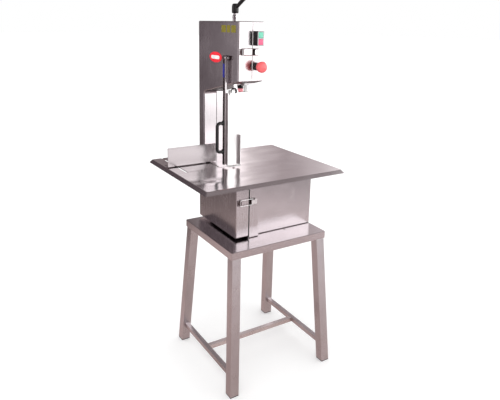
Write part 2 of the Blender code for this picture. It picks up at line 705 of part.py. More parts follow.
# --------------------------------------------------------------- blade guide
def build_guide():
    """Height-adjustable upper guide of the band."""
    low, high, high_front = 1.1170, 1.1405, 1.1490
    pivot = (POST_X, POST_Y, high)
    add("guide_post", lathe([(POST_R, high + GAP), (POST_R, 1.3700), (0.0055, 1.3715)],
                            "Z", (POST_X, POST_Y, 0), 24), CHROME, pivot)
    left, right, back, front = 0.0310, 0.0490, -0.0660, -0.1470
    slot, pocket = (0.0396, 0.0419), (0.0366, 0.0449)
    pocket_front, pocket_back = -0.1158, -0.0925
    outline = [(left, back), (left, front), (slot[0], front), (slot[0], pocket_front),
               (pocket[0], pocket_front), (pocket[0], pocket_back),
               (pocket[1], pocket_back), (pocket[1], pocket_front),
               (slot[1], pocket_front), (slot[1], front), (right, front), (right, back)]
    bracket = add("guide_bracket", prism(outline, "Z", low, high_front), STEEL, pivot)
    over = 0.01
    cut(bracket, box((left - over, right + over), (pocket_front + 0.0010, back + over),
                     (high, high_front + over)))
    axis = (0, ROLLER_Y, ROLLER_Z)
    pin_end = 0.0070
    cut(bracket, lathe([(ROLLER_PIN + RUN, BAND_X - pin_end - 0.0005),
                        (ROLLER_PIN + RUN, BAND_X + pin_end + 0.0005)], "X", axis, 24))
    roller = [(ROLLER_PIN, BAND_X - pin_end), (ROLLER_PIN, BAND_X - ROLLER_HALF),
              (ROLLER_R, BAND_X - ROLLER_HALF), (ROLLER_R, BAND_X + ROLLER_HALF),
              (ROLLER_PIN, BAND_X + ROLLER_HALF), (ROLLER_PIN, BAND_X + pin_end)]
    add("guide_roller", lathe(roller, "X", axis, 24), STEEL, (POST_X, ROLLER_Y, ROLLER_Z))
    build_guide_hood(right, pivot)
    build_guide_knob()


def build_guide_knob():
    """Clamp knob: cap below, grip above, stem up into the head's block."""
    cap_r, low, middle, high = 0.0106, 1.1335, 1.1460, 1.1588
    profile = [(cap_r - 0.0021, low), (cap_r, low + 0.0020), (cap_r, middle - 0.0005),
               (KNOB_R, middle + 0.0005), (KNOB_R, high), (KNOB_STEM, high + 0.0002),
               (KNOB_STEM, 1.2050)]
    add("guide_knob", lathe(profile, "Z", (KNOB_X, KNOB_Y, 0), 20), BLACK,
        (KNOB_X, KNOB_Y, 0))


def build_guide_hood(face, pivot):
    """Arched plastic hood over the band, on the right side of the bracket."""
    centre_y, centre_z = -0.1345, 1.1470
    inner, outer = 0.0082, 0.0128
    arch = []
    for radius, start, end in ((outer, -40, 215), (inner, 215, -40)):
        for k in range(13):
            angle = math.radians(start + (end - start) * k / 12)
            arch.append((centre_y + radius * math.cos(angle),
                         centre_z + radius * math.sin(angle)))
    add("guide_hood", prism(arch, "X", face + GAP, face + 0.0033), BLACK, pivot)


# -------------------------------------------------------------------- pusher
def build_pusher_bracket():
    """Clevis with a cross pin on the front of the upper cover."""
    front = FRONT_Y - GAP
    ears = ((0.0170, 0.0215), (0.0505, 0.0550))
    bracket = add("pusher_bracket", box((ears[0][0], ears[1][1]), (front - 0.0007, front),
                                        (PIVOT_Z - 0.010, PIVOT_Z + 0.008)), CHROME)
    for ear in ears:
        join(bracket, box(ear, (-0.1655, front - 0.0003), (PIVOT_Z - 0.0055, PIVOT_Z + 0.0055)))
    join(bracket, lathe([(PIVOT_R, 0.0185), (PIVOT_R, 0.0535)], "X", (0, PIVOT_Y, PIVOT_Z), 24))


def build_pusher_arm():
    """Flat bar that hangs from the pin on a welded sleeve."""
    arm = add("pusher_arm", box(ARM_X, ARM_Y, (ARM_BOTTOM, PIVOT_Z + 0.0060)), STEEL,
              PUSHER_PIVOT)
    axis = (0, PIVOT_Y, PIVOT_Z)
    join(arm, lathe([(0.0074, 0.0222), (0.0074, 0.0498)], "X", axis, 24))
    cut(arm, lathe([(PIVOT_R + RUN, 0.0200), (PIVOT_R + RUN, 0.0520)], "X", axis, 24))


def build_pusher_plate():
    """Bent sheet: lap behind the arm, side web past the band, rear pushing lip."""
    thick = 0.0015
    web = (0.0540, 0.0540 + thick)
    lap_end, lap_y = 0.0285, (ARM_Y[1] + GAP, ARM_Y[1] + GAP + thick)
    lip_end, lip_y = 0.0700, (-0.1145, -0.1145 + thick)
    low, high = 0.8700, 1.1400
    outline = [(lap_end, lap_y[0]), (web[1], lap_y[0]), (web[1], lip_y[0]),
               (lip_end, lip_y[0]), (lip_end, lip_y[1]), (web[0], lip_y[1]),
               (web[0], lap_y[1]), (lap_end, lap_y[1])]
    plate = add("pusher_plate", prism(outline, "Z", low, high), POLISHED, PUSHER_PIVOT)
    over, corner = 0.01, 0.004
    lip_top = 0.9850              # the pushing lip is lower than the web
    cut(plate, prism([(web[1] + GAP, lip_top - corner), (web[1] + corner, lip_top),
                      (lip_end - corner, lip_top), (lip_end + 0.001, lip_top - corner),
                      (lip_end + over, high + over), (web[1] + GAP, high + over)],
                     "Y", lip_y[0] - over, lip_y[1] + over))
    web_top_rear = 1.0780         # the web's top edge slopes down to the rear
    cut(plate, prism([(lap_y[1] + 0.002, high - 0.005), (lip_y[1] + over, web_top_rear),
                      (lip_y[1] + over, high + over), (lap_y[1] + 0.002, high + over)],
                     "X", lap_end - over, web[1] + over))


def build_pusher_handle():
    """D-shaped grip on the front of the arm."""
    grip_r, bend = 0.0062, 0.011
    face = ARM_Y[0] - GAP
    grip_y = -0.1945
    z = (0.9200, 1.0285)
    corners = [(face, z[0]), (grip_y, z[0]), (grip_y, z[1]), (face, z[1])]
    bends = rounded(corners, [0, bend, bend, 0], 5)
    path = [(PUSHER_PIVOT[0], y, height) for y, height in bends]
    add("pusher_handle", sweep(path, (1, 0, 0), grip_r, 12), BLACK, PUSHER_PIVOT)


# ------------------------------------------------------------------ controls
def build_switch():
    """Start and stop push buttons in a box on the head's side."""
    face, button_x, button_y = 0.1370, (0.1330, 0.1400), (-0.0885, -0.0700)
    travel = 0.0035                # room behind a button for its stroke
    housing = add("switch_box", box((HEAD_RIGHT + GAP, face), (-0.0925, -0.0660), SWITCH_Z),
                  BLACK)
    buttons = (("start_button", (1.3385, 1.3575), GREEN),
               ("stop_button", (1.3145, 1.3335), RED))
    for name, z, look in buttons:
        cut(housing, box((button_x[0] - travel, button_x[1]),
                         (button_y[0] - GAP, button_y[1] + GAP),
                         (z[0] - GAP, z[1] + GAP)))
        middle = (button_x[0] + 0.0010, sum(button_y) / 2, sum(z) / 2)
        add(name, box(button_x, button_y, z), look, middle)


def build_emergency_stop():
    """Mushroom button in its collar, under the push buttons."""
    axis = (0, ESTOP_Y, ESTOP_Z)
    bore = ESTOP_STEM + RUN
    collar = [(bore, HEAD_RIGHT + 0.0050), (bore, 0.1290), (0.0135, 0.1290),
              (0.0145, 0.1270), (0.0145, HEAD_RIGHT + GAP)]
    add("estop_base", lathe(collar, "X", axis, 32), BLACK)
    cap = [(ESTOP_STEM, 0.1190), (ESTOP_STEM, 0.1350), (0.0185, 0.1360), (0.0200, 0.1400),
           (0.0200, 0.1480), (0.0180, 0.1530), (0.0130, 0.1570), (0.0060, 0.1590)]
    add("estop_button", lathe(cap, "X", axis, 32), RED, (0.1290, ESTOP_Y, ESTOP_Z))


# ---------------------------------------------------------------------- main
clear_scene()
ROOT = bpy.data.objects.new("bone_saw_origin", None)
bpy.context.scene.collection.objects.link(ROOT)
ROOT.location = (-CENTRE_X, -CENTRE_Y, 0)

build_stand()
build_frame_and_covers()
build_drive()
build_upper_wheel_gear()
build_tension_screw()
build_band()
build_table()
build_blade_insert()
build_fence()
build_guide()
build_pusher_bracket()
build_pusher_arm()
build_pusher_plate()
build_pusher_handle()
build_switch()
build_emergency_stop()
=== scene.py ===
"""Looks of the butcher's bone saw: materials, small hardware, light and camera.

The object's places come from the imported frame; the sizes of small hardware, the
camera and the light are named here. Metres, +Z up, the operator on the -Y side.
"""

import math

import bmesh
import bpy
from mathutils import Matrix, Vector


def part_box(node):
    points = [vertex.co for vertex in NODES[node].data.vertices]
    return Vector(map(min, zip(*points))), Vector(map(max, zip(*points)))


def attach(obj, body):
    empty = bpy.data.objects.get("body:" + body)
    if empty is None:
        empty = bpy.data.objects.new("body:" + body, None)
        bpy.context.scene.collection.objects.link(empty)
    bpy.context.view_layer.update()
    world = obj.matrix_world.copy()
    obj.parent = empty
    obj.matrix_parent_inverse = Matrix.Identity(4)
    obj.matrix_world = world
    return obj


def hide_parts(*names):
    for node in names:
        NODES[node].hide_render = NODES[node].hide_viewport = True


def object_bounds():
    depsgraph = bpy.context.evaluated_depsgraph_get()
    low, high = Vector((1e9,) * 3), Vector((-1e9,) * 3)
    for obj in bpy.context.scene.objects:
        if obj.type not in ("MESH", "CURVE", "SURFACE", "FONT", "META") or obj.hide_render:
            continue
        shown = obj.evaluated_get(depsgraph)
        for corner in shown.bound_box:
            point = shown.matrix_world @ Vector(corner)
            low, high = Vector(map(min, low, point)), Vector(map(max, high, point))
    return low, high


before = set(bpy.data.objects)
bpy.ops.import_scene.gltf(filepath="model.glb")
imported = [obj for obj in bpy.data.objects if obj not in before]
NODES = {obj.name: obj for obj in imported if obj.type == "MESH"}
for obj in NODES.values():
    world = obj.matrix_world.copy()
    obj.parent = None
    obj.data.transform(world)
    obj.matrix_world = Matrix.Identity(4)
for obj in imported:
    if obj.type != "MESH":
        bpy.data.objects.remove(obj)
CAD_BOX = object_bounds()

# ------------------------------------------------------------------- colours
STEEL_TINT = (0.66, 0.615, 0.635)
SATIN_TINT = (0.70, 0.66, 0.675)
# PALE_TINT and PLATE_TINT are paler copies of the same stainless: painted light
PALE_TINT = (0.86, 0.80, 0.80)
PLATE_TINT = (0.97, 0.96, 0.96)
# FENCE_TINT is a darker copy of the same stainless: painted shade
FENCE_TINT = (0.46, 0.43, 0.44)
CHROME_TINT = (0.82, 0.80, 0.81)
IRON_TINT = (0.40, 0.40, 0.41)
BLACK_TINT = (0.012, 0.011, 0.012)
RUBBER_TINT = (0.022, 0.021, 0.021)
RED_TINT = (0.93, 0.002, 0.020)
MUSHROOM_TINT = (0.88, 0.12, 0.13)
# paler than the mushroom red: painted light on the cap in the head's shade
CAP_TINT = (1.00, 0.32, 0.36)
STOP_TINT = (0.82, 0.10, 0.22)
SEAM_TINT = (0.62, 0.58, 0.58)
GREEN_TINT = (0.15, 0.60, 0.42)
BLUE_TINT = (0.001, 0.005, 0.24)
# yellow darkened to olive: painted shade on the cover's front
SHADED_YELLOW_TINT = (0.20, 0.165, 0.006)
WHITE_TINT = (0.80, 0.79, 0.78)
# near-black steel: painted dark reflection
DARK_REFLECTION_TINT = (0.085, 0.065, 0.066)
PANEL_TINT = (0.62, 0.61, 0.62)
MOTOR_TINT = (0.16, 0.19, 0.22)

# the head's forward faces are painted white from this far below its top: painted reflection
PAINTED_REFLECTION_DEPTH = 0.1571

# The surround by direction: cosine to the studio's axis (or height), then colour.
# The values were tuned until the steel agreed with the reference from the
# main viewpoint. They describe one studio, not the object.
WALL = ((-1.0, (0.85, 0.80, 0.82)), (-0.88, (0.80, 0.74, 0.77)), (-0.77, (0.11, 0.087, 0.095)),
        (-0.45, (0.10, 0.080, 0.088)), (-0.05, (0.34, 0.29, 0.295)), (0.09, (0.13, 0.105, 0.11)),
        (0.16, (1.75, 1.65, 1.65)), (0.20, (0.80, 0.72, 0.73)), (0.28, (0.45, 0.385, 0.395)),
        (0.36, (0.72, 0.65, 0.66)), (0.60, (2.25, 2.25, 2.23)), (0.85, (2.50, 2.52, 2.50)))
SKIRTING = ((-0.90, (0.20, 0.17, 0.17)), (-0.74, (0.10, 0.080, 0.080)),
            (-0.40, (0.12, 0.100, 0.100)), (0.25, (0.50, 0.42, 0.44)),
            (0.75, (0.10, 0.075, 0.085)))
GROUND_DARK = ((-1.0, (0.24, 0.185, 0.18)), (-0.75, (0.42, 0.33, 0.315)),
               (-0.50, (0.68, 0.54, 0.515)), (-0.43, (0.60, 0.475, 0.455)),
               (-0.39, (0.22, 0.175, 0.17)))
GROUND_PALE = ((-1.0, (0.38, 0.31, 0.29)), (-0.75, (0.50, 0.41, 0.39)),
               (-0.50, (0.61, 0.50, 0.475)), (-0.41, (0.54, 0.435, 0.425)),
               (-0.37, (1.60, 1.48, 1.48)))
CEILING = ((-0.8, (0.18, 0.15, 0.16)), (0.3, (0.26, 0.225, 0.23)), (0.75, (0.30, 0.26, 0.265)),
           (0.95, (1.0, 1.0, 1.0)))
STUDIO_AXIS = (0.35, 0.937, 0.0)
DOME_RADIUS, DOME_HEIGHT = 9.0, 1.0
# spans of cosine or height over which one zone of the surround turns into the next
GROUND_SPAN = (-0.40, 0.60)
SKIRTING_SPAN = (-0.25, -0.12)
HORIZON_SPAN = (-0.37, -0.33)
CEILING_SPAN = (0.30, 0.62)

FLOOR_HALF, FLOOR_TINT, FLOOR_ROUGH = 60.0, (0.93, 0.93, 0.93), 0.9
FLOOR_GLOW, FLOOR_SPECULAR = 0.16, 0.1
SKY_STRENGTH = 1.0
SUN_ENERGY, SUN_SPREAD, SUN_TILT = 0.4, math.radians(50), (math.radians(18), math.radians(22), 0)

CAMERA_PLACE = (1.65035, -1.0166, 1.3816)
CAMERA_YAW, CAMERA_PITCH, CAMERA_ROLL = -1.0128, 0.2594, 0.0197
SENSOR_WIDTH, LENS_LENGTH = 36.0, 37.07
LENS_SHIFT = (0.0039, -0.0772)
VIEW_DEPTH = 200.0

# ---------------------------------------------------------------- node tools


class Shader:
    """A Principled material with a few procedural helpers."""

    def __init__(self, name, color, rough, metal):
        self.material = bpy.data.materials.new(name)
        self.material.use_nodes = True
        self.tree = self.material.node_tree
        self.bsdf = self.tree.nodes["Principled BSDF"]
        self.set("Base Color", (*color, 1.0))
        self.set("Roughness", rough)
        self.set("Metallic", metal)
        self.coords = None

    def set(self, socket, value):
        self.bsdf.inputs[socket].default_value = value

    def node(self, kind, **values):
        node = self.tree.nodes.new(kind)
        for key, value in values.items():
            setattr(node, key, value)
        return node

    def link(self, source, target):
        self.tree.links.new(source, target)

    def place(self, scale):
        """Object coordinates stretched by a scale for each axis."""
        if self.coords is None:
            self.coords = self.node("ShaderNodeTexCoord")
        mapping = self.node("ShaderNodeMapping")
        mapping.inputs["Scale"].default_value = scale
        self.link(self.coords.outputs["Object"], mapping.inputs["Vector"])
        return mapping.outputs["Vector"]

    def noise(self, scale, detail=3.0, rough=0.55):
        noise = self.node("ShaderNodeTexNoise")
        noise.inputs["Scale"].default_value = 1.0
        noise.inputs["Detail"].default_value = detail
        noise.inputs["Roughness"].default_value = rough
        self.link(self.place(scale), noise.inputs["Vector"])
        return noise.outputs["Fac"]

    def ranged(self, value, low, high, start=0.3, end=0.7):
        ranged = self.node("ShaderNodeMapRange")
        ranged.inputs["From Min"].default_value = start
        ranged.inputs["From Max"].default_value = end
        ranged.inputs["To Min"].default_value = low
        ranged.inputs["To Max"].default_value = high
        self.link(value, ranged.inputs["Value"])
        return ranged.outputs["Result"]

    def mixed(self, factor, first, second):
        mix = self.node("ShaderNodeMix", data_type="RGBA")
        mix.inputs["A"].default_value = (*first, 1.0)
        mix.inputs["B"].default_value = (*second, 1.0)
        self.link(factor, mix.inputs["Factor"])
        return mix.outputs["Result"]

    def maths(self, operation, first, second):
        node = self.node("ShaderNodeMath", operation=operation)
        for socket, value in zip(node.inputs, (first, second)):
            if isinstance(value, float):
                socket.default_value = value
            else:
                self.link(value, socket)
        return node.outputs["Value"]

    def bump(self, height, distance, strength=1.0):
        bump = self.node("ShaderNodeBump")
        bump.inputs["Distance"].default_value = distance
        bump.inputs["Strength"].default_value = strength
        self.link(height, bump.inputs["Height"])
        normal = self.bsdf.inputs["Normal"]
        if normal.is_linked:
            self.link(normal.links[0].from_socket, bump.inputs["Normal"])
        self.link(bump.outputs["Normal"], normal)


def darker(color, share):
    return tuple(channel * share for channel in color)


def stained(tint):
    """The brownish, darker tone of handled or heat-tinted steel."""
    return (tint[0] * 0.42, tint[1] * 0.36, tint[2] * 0.33)


def brushed(name, grain, tint=STEEL_TINT, rough=0.30, spread=0.10, groove=0.00002, stain=0.0,
            wave=0.0):
    """Brushed stainless: fine lines along the grain, hand marks, stains, uneven sheet."""
    shader = Shader(name, tint, rough, 1.0)
    across, along = 1500.0, 9.0
    fine = [across, across, across]
    fine["XYZ".index(grain)] = along
    lines = shader.noise(fine, 4.0, 0.7)
    marks = shader.noise((9.0, 9.0, 9.0), 4.0, 0.6)
    rough_lines = shader.ranged(lines, rough - spread / 2, rough + spread / 2)
    rough_marks = shader.ranged(marks, -0.035, 0.045)
    shader.link(shader.maths("ADD", rough_lines, rough_marks), shader.bsdf.inputs["Roughness"])
    cloud = [7.0, 7.0, 7.0]
    cloud["XYZ".index(grain)] = 3.0
    clouds = shader.ranged(shader.noise(cloud, 5.0, 0.65), 0.0, stain, 0.40, 0.65)
    shade = shader.maths("ADD", clouds, shader.ranged(lines, 0.0, 0.10))
    color = shader.mixed(shade, tint, stained(tint))
    shader.link(color, shader.bsdf.inputs["Base Color"])
    shader.bump(lines, groove, 0.5)
    if wave:
        shader.bump(shader.noise((11.0, 5.0, 11.0), 1.0), wave)
    return shader.material


def chrome(name, tint=CHROME_TINT, rough=0.09):
    """Plated metal with faint wipe marks."""
    shader = Shader(name, tint, rough, 1.0)
    marks = shader.noise((60.0, 60.0, 60.0), 4.0)
    shader.link(shader.ranged(marks, rough - 0.03, rough + 0.09), shader.bsdf.inputs["Roughness"])
    shader.link(shader.mixed(marks, darker(tint, 0.90), tint), shader.bsdf.inputs["Base Color"])
    return shader.material


def dark_reflection_steel(name):
    """Smooth steel painted near black as a painted dark reflection: hooks, clamps and the
    pusher's front strip.
    """
    shader = Shader(name, DARK_REFLECTION_TINT, 0.24, 1.0)
    marks = shader.noise((70.0, 70.0, 70.0), 4.0)
    shader.link(shader.ranged(marks, 0.18, 0.34), shader.bsdf.inputs["Roughness"])
    shader.link(shader.mixed(marks, DARK_REFLECTION_TINT, darker(DARK_REFLECTION_TINT, 1.7)),
                shader.bsdf.inputs["Base Color"])
    return shader.material


def machined_iron(name):
    """Cast iron: grainy surface, uneven roughness and dark blotches."""
    shader = Shader(name, IRON_TINT, 0.42, 1.0)
    grain = shader.noise((420.0, 420.0, 420.0), 4.0)
    blotch = shader.noise((22.0, 22.0, 22.0), 3.0)
    shader.link(shader.ranged(grain, 0.34, 0.55), shader.bsdf.inputs["Roughness"])
    shader.link(shader.mixed(shader.ranged(blotch, 0.0, 1.0), darker(IRON_TINT, 0.75), IRON_TINT),
                shader.bsdf.inputs["Base Color"])
    shader.bump(grain, 0.0001, 0.5)
    return shader.material


def moulded(name, tint, rough=0.38, grain_size=900.0, depth=0.00006, coat=0.0, glow=0.0):
    """Moulded plastic or rubber: fine spark texture and slight wear.

    glow is a faint emission that lifts the tint of a piece in deep shade.
    """
    shader = Shader(name, tint, rough, 0.0)
    grain = shader.noise((grain_size, grain_size, grain_size), 2.0)
    wear = shader.noise((35.0, 35.0, 35.0), 4.0)
    light = tuple(min(1.0, channel * 1.25 + 0.006) for channel in tint)
    shader.link(shader.mixed(shader.ranged(wear, 0.0, 1.0), tint, light),
                shader.bsdf.inputs["Base Color"])
    shader.link(shader.ranged(wear, rough - 0.07, rough + 0.09), shader.bsdf.inputs["Roughness"])
    shader.set("Coat Weight", coat)
    shader.set("Coat Roughness", 0.12)
    shader.set("Emission Color", (*tint, 1.0))
    shader.set("Emission Strength", glow)
    shader.bump(grain, depth, 0.6)
    return shader.material


def painted(name, tint):
    """Sprayed enamel with a light orange-peel surface."""
    shader = Shader(name, tint, 0.36, 0.0)
    peel = shader.noise((260.0, 260.0, 260.0), 2.0)
    dust = shader.noise((18.0, 18.0, 18.0), 4.0)
    shader.link(shader.mixed(shader.ranged(dust, 0.0, 1.0), darker(tint, 0.8), tint),
                shader.bsdf.inputs["Base Color"])
    shader.link(shader.ranged(dust, 0.30, 0.48), shader.bsdf.inputs["Roughness"])
    shader.bump(peel, 0.0002, 0.3)
    return shader.material


MATERIALS = {
    "sheet_upright": brushed("sheet_upright", "Z", rough=0.23),
    "sheet_across": brushed("sheet_across", "X", rough=0.30),
    "stand_steel": brushed("stand_steel", "Z", rough=0.30, stain=0.25),
    "stretcher_steel": brushed("stretcher_steel", "X", rough=0.24, stain=0.45),
    # the middle stretcher's paler steel is painted light
    "stretcher_mid_steel": brushed("stretcher_mid_steel", "Y", PALE_TINT, 0.26, stain=0.30),
    "tray_steel": brushed("tray_steel", "Y", rough=0.20, stain=0.10),
    "table_steel": brushed("table_steel", "Y", SATIN_TINT, 0.16, 0.06, 0.000005, wave=0.0040),
    # the fence's darker steel is painted shade
    "fence_steel": brushed("fence_steel", "Y", FENCE_TINT, 0.24, 0.07, 0.00002),
    "hardware_steel": brushed("hardware_steel", "Y", SATIN_TINT, 0.22, 0.08, 0.00002),
    "band_steel": brushed("band_steel", "Z", SATIN_TINT, 0.22, 0.08, 0.00002),
    # the pusher plate's near-white steel is painted light
    "plate_steel": brushed("plate_steel", "Z", PLATE_TINT, 0.36, 0.08, 0.00002),
    "chrome": chrome("chrome"),
    "dark_reflection_steel": dark_reflection_steel("dark_reflection_steel"),
    # painted shade: a near-black copy of the steel for the head's underside
    "painted_shade_steel": brushed("painted_shade_steel", "X", darker(STEEL_TINT, 0.05), 0.30),
    "iron": machined_iron("iron"),
    "black": moulded("black", BLACK_TINT, 0.34),
    "matt_black": moulded("matt_black", BLACK_TINT, 0.62),
    "seam_grey": moulded("seam_grey", SEAM_TINT, 0.50),
    # the cap's pale tint and glow are painted light in the head's shade
    "cap_red": moulded("cap_red", CAP_TINT, 0.34, coat=0.4, glow=0.33),
    "stop_red": moulded("stop_red", STOP_TINT, 0.32, coat=0.4),
    "grip_black": moulded("grip_black", BLACK_TINT, 0.30, 600.0, 0.0001),
    "rubber": moulded("rubber", RUBBER_TINT, 0.75, 500.0, 0.0002),
    "badge_red": moulded("badge_red", RED_TINT, 0.42),
    "mushroom_red": moulded("mushroom_red", MUSHROOM_TINT, 0.30, coat=0.5),
    "green": moulded("green", GREEN_TINT, 0.30, coat=0.4),
    "blue": moulded("blue", BLUE_TINT, 0.45),
    # the labels' olive yellow is painted shade
    "yellow": moulded("yellow", SHADED_YELLOW_TINT, 0.40),
    "white": moulded("white", WHITE_TINT, 0.38),
    "panel": moulded("panel", PANEL_TINT, 0.36),
    "motor": painted("motor", MOTOR_TINT),
}

# Which material each kept CAD node wears. The record calls guide_bracket stainless
# and guide_post chrome; both are shown white here as a painted reflection.
LOOKS = {
    "sheet_upright": ["upper_cover", "head_body", "column_body", "lower_door", "base_body",
                      "motor_box"],
    "stand_steel": ["leg_front_left", "leg_front_right", "leg_back_left", "leg_back_right"],
    "stretcher_steel": ["stretcher_front", "stretcher_back"],
    "stretcher_mid_steel": ["stretcher_middle"],
    "tray_steel": ["stand_tray"],
    "table_steel": ["table_top"],
    "fence_steel": ["fence"],
    "sheet_across": ["carriage_guide", "drive_shaft"],
    "plate_steel": ["pusher_plate"],
    # latch bases and keepers are painted near black: painted dark reflection
    "dark_reflection_steel": ["latch_upper_base", "latch_upper_keeper", "latch_lower_base",
                   "latch_lower_keeper"],
    "hardware_steel": ["hinge_low_fixed", "hinge_low_leaf", "hinge_high_fixed",
                       "hinge_high_leaf", "guide_roller"],
    "chrome": ["tension_screw", "latch_upper_lever", "latch_lower_lever",
               "latch_upper_bail", "latch_lower_bail"],
    "iron": ["lower_wheel", "upper_wheel", "wheel_carriage", "lower_bearing"],
    "black": ["fence_slide_front", "fence_slide_rear", "switch_box"],
    "rubber": ["foot_front_left", "foot_front_right", "foot_back_left", "foot_back_right"],
    "white": ["blade_insert", "guide_bracket", "guide_post"],
    "motor": ["motor"],
}


def dress_nodes():
    """Give every kept CAD node its procedural material."""
    for look, names in LOOKS.items():
        for name in names:
            mesh = NODES[name].data
            mesh.materials.clear()
            mesh.materials.append(MATERIALS[look])
            mesh.shade_smooth()
            mesh.set_sharp_from_angle(angle=math.radians(32))
    down, forwards, right = Vector((0, 0, -1)), Vector((0, -1, 0)), Vector((1, 0, 0))
    # the head's sloping underside is painted nearly black: painted shade
    for name in ("head_body", "upper_cover"):
        dress_faces(NODES[name], down, "painted_shade_steel")
    # every forward face low in the head is painted white, a painted reflection of the bright
    # surround: the block that holds the guide post, and also the steel rim and wall beside it
    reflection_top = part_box("head_body")[1].z - PAINTED_REFLECTION_DEPTH
    dress_faces(NODES["head_body"], forwards, "white", reflection_top)
    # of the guide bracket only the right face stays metal; the rest keeps its painted white
    # reflection
    dress_faces(NODES["guide_bracket"], right, "plate_steel")


def dress_faces(node, direction, look, below=math.inf):
    """Give the faces that look in one direction, up to a height, another material."""
    mesh = node.data
    mesh.materials.append(MATERIALS[look])
    for polygon in mesh.polygons:
        centre = node.matrix_world @ polygon.center
        if polygon.normal.dot(direction) > 0.8 and centre.z < below:
            polygon.material_index = len(mesh.materials) - 1


# ---------------------------------------------------------------- mesh tools
def loft(rings, closed=False, caps=True):
    """Skin equal rings of points."""
    bm = bmesh.new()
    layers = [[bm.verts.new(point) for point in ring] for ring in rings]
    pairs = list(zip(layers, layers[1:]))
    if closed:
        pairs.append((layers[-1], layers[0]))
    count = len(layers[0])
    for low, high in pairs:
        for i in range(count):
            j = (i + 1) % count
            bm.faces.new((low[i], low[j], high[j], high[i]))
    if caps and not closed:
        bm.faces.new(layers[0])
        bm.faces.new(layers[-1])
    bmesh.ops.recalc_face_normals(bm, faces=bm.faces)
    return bm


AXES = {"X": (Vector((0, 1, 0)), Vector((0, 0, 1)), Vector((1, 0, 0))),
        "Y": (Vector((0, 0, 1)), Vector((1, 0, 0)), Vector((0, 1, 0))),
        "Z": (Vector((1, 0, 0)), Vector((0, 1, 0)), Vector((0, 0, 1)))}


def lathe(profile, axis, centre, segments=48, shape=None):
    """Turn (radius, level) points about an axis; shape can vary the radius."""
    u, v, w = AXES[axis]
    rings = []
    for radius, level in profile:
        ring = []
        for k in range(segments):
            angle = 2 * math.pi * k / segments
            r = radius if shape is None else shape(radius, level, angle)
            ring.append(Vector(centre) + u * (r * math.cos(angle)) + v * (r * math.sin(angle))
                        + w * level)
        rings.append(ring)
    return loft(rings)


def tube(path, radius, segments=24, up=(1, 0, 0)):
    """A round bar along a flat path; radius is a number or one per point."""
    points = [Vector(p) for p in path]
    radii = radius if isinstance(radius, list) else [radius] * len(points)
    up = Vector(up)
    rings = []
    for i, point in enumerate(points):
        ahead = points[min(i + 1, len(points) - 1)]
        behind = points[max(i - 1, 0)]
        tangent = (ahead - behind).normalized()
        side = tangent.cross(up).normalized()
        rings.append([point + side * (radii[i] * math.cos(a)) + up * (radii[i] * math.sin(a))
                      for a in (2 * math.pi * k / segments for k in range(segments))])
    return loft(rings)


def block(low, high, bevel=0.0, segments=3):
    """A cuboid with rounded edges."""
    bm = bmesh.new()
    bmesh.ops.create_cube(bm, size=1.0)
    size = Vector(high) - Vector(low)
    bm.transform(Matrix.Translation((Vector(low) + Vector(high)) / 2) @ Matrix.Diagonal(
        (*size, 1.0)))
    if bevel:
        bmesh.ops.bevel(bm, geom=list(bm.edges), offset=bevel, segments=segments,
                        profile=0.5, affect="EDGES")
    return bm


def merged(parts):
    """One mesh from several."""
    result = bmesh.new()
    for part in parts:
        mesh = bpy.data.meshes.new("part")
        part.to_mesh(mesh)
        part.free()
        result.from_mesh(mesh)
        bpy.data.meshes.remove(mesh)
    return result


def piece(name, bm, look, body, nodes=()):
    """A finished piece that rides on a CAD body."""
    mesh = bpy.data.meshes.new(name)
    bm.to_mesh(mesh)
    bm.free()
    obj = bpy.data.objects.new(name, mesh)
    bpy.context.scene.collection.objects.link(obj)
    mesh.materials.append(MATERIALS[look])
    mesh.shade_smooth()
    mesh.set_sharp_from_angle(angle=math.radians(35))
    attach(obj, body)
    if nodes:
        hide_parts(*nodes)
    return obj


def arc(centre, radius, start, end, steps):
    """Points of a circular arc, angles in degrees."""
    points = []
    for k in range(steps + 1):
        angle = math.radians(start + (end - start) * k / steps)
        points.append((centre[0] + radius * math.cos(angle),
                       centre[1] + radius * math.sin(angle)))
    return points


def middle(node):
    low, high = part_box(node)
    return (low + high) / 2


# --------------------------------------------------------------- saw band
def build_band():
    """The endless band with its raked teeth, in place of the plain CAD loop."""
    low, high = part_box("blade")
    lower, upper = middle("lower_wheel"), middle("upper_wheel")
    outer = (high.x - low.x) / 2
    thick = 0.0007
    inner = outer - thick
    straight = upper.z - lower.z
    length = 2 * straight + 2 * math.pi * outer
    pitch, gullet = 0.0065, 0.0030
    count = round(length / pitch)
    steps = count * 4
    depths = (gullet, 0.0, gullet * 0.35, gullet * 0.8)
    rings = []
    for k in range(steps):
        s = length * k / steps
        if s < straight:
            base = Vector((high.x - outer, 0, lower.z + s))
            normal = Vector((1, 0, 0))
        elif s < straight + math.pi * outer:
            angle = (s - straight) / outer
            base = Vector((upper.x, 0, upper.z))
            normal = Vector((math.cos(angle), 0, math.sin(angle)))
        elif s < 2 * straight + math.pi * outer:
            base = Vector((upper.x, 0, upper.z - (s - straight - math.pi * outer)))
            normal = Vector((-1, 0, 0))
        else:
            angle = math.pi + (s - 2 * straight - math.pi * outer) / outer
            base = Vector((upper.x, 0, lower.z))
            normal = Vector((math.cos(angle), 0, math.sin(angle)))
        edge = low.y + depths[k % 4]
        rings.append([base + normal * inner + Vector((0, edge, 0)),
                      base + normal * outer + Vector((0, edge, 0)),
                      base + normal * outer + Vector((0, high.y, 0)),
                      base + normal * inner + Vector((0, high.y, 0))])
    piece("saw_band", loft(rings, closed=True), "band_steel", "frame", ["blade"])


